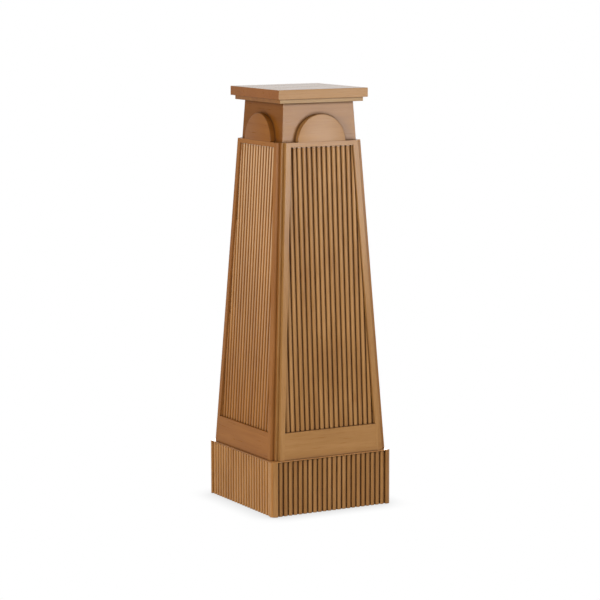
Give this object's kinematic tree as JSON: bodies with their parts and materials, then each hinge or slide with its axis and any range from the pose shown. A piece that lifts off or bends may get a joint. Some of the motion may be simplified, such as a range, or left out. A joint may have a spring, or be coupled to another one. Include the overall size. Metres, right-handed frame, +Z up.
{
  "type": "pedestal column stand",
  "caption": "Tapered square pedestal stand in warm brown wood, with reeded panels, half-disc ornaments on the neck, a flat square top and a reeded plinth.",
  "frame": {"origin": "centre of the square footprint, on the floor under the glides", "axes": "+Z up; -Y is the front, the right-hand side of the two sides the picture shows; +X is to the right of someone who faces the front"},
  "size_m": [0.313, 0.313, 0.963],
  "materials": {
    "slab_wood": "satin varnish over a warm brown stain, grain along the front",
    "frame_wood": "satin varnish over a warm brown stain, grain along each strip",
    "panel_wood": "satin varnish over a warm brown stain",
    "reeded_wood": "satin varnish over a warm brown stain, grain along the reeds, grooves darker",
    "inner_wood": "bare wood, unfinished",
    "steel": "zinc-plated",
    "glide": "smooth brown plastic"
  },
  "bodies": {
    "root": {"back_bottom_rail": "frame_wood", "back_core_panel": "panel_wood", "back_half_disc": "panel_wood", "back_left_neck_corner_post": "inner_wood", "back_left_plinth_corner_block": "inner_wood", "back_left_stile": "frame_wood", "back_neck_board": "panel_wood", "back_plinth_board": "reeded_wood", "back_reeded_panel": "reeded_wood", "back_right_neck_corner_post": "inner_wood", "back_right_plinth_corner_block": "inner_wood", "back_right_stile": "frame_wood", "back_top_rail": "frame_wood", "base_screws": "steel", "core_bottom_board": "inner_wood", "core_spreader": "inner_wood", "core_top_board": "inner_wood", "front_bottom_rail": "frame_wood", "front_core_panel": "panel_wood", "front_half_disc": "panel_wood", "front_left_neck_corner_post": "inner_wood", "front_left_plinth_corner_block": "inner_wood", "front_left_stile": "frame_wood", "front_neck_board": "panel_wood", "front_plinth_board": "reeded_wood", "front_reeded_panel": "reeded_wood", "front_right_neck_corner_post": "inner_wood", "front_right_plinth_corner_block": "inner_wood", "front_right_stile": "frame_wood", "front_top_rail": "frame_wood", "glides": "glide", "left_bottom_rail": "frame_wood", "left_core_panel": "panel_wood", "left_half_disc": "panel_wood", "left_left_stile": "frame_wood", "left_neck_board": "panel_wood", "left_plinth_board": "reeded_wood", "left_reeded_panel": "reeded_wood", "left_right_stile": "frame_wood", "left_top_rail": "frame_wood", "plinth_deck": "slab_wood", "right_bottom_rail": "frame_wood", "right_core_panel": "panel_wood", "right_half_disc": "panel_wood", "right_left_stile": "frame_wood", "right_neck_board": "panel_wood", "right_plinth_board": "reeded_wood", "right_reeded_panel": "reeded_wood", "right_right_stile": "frame_wood", "right_top_rail": "frame_wood", "slab_screws": "steel", "top_slab": "slab_wood", "under_slab": "slab_wood"}
  },
  "joints": []
}
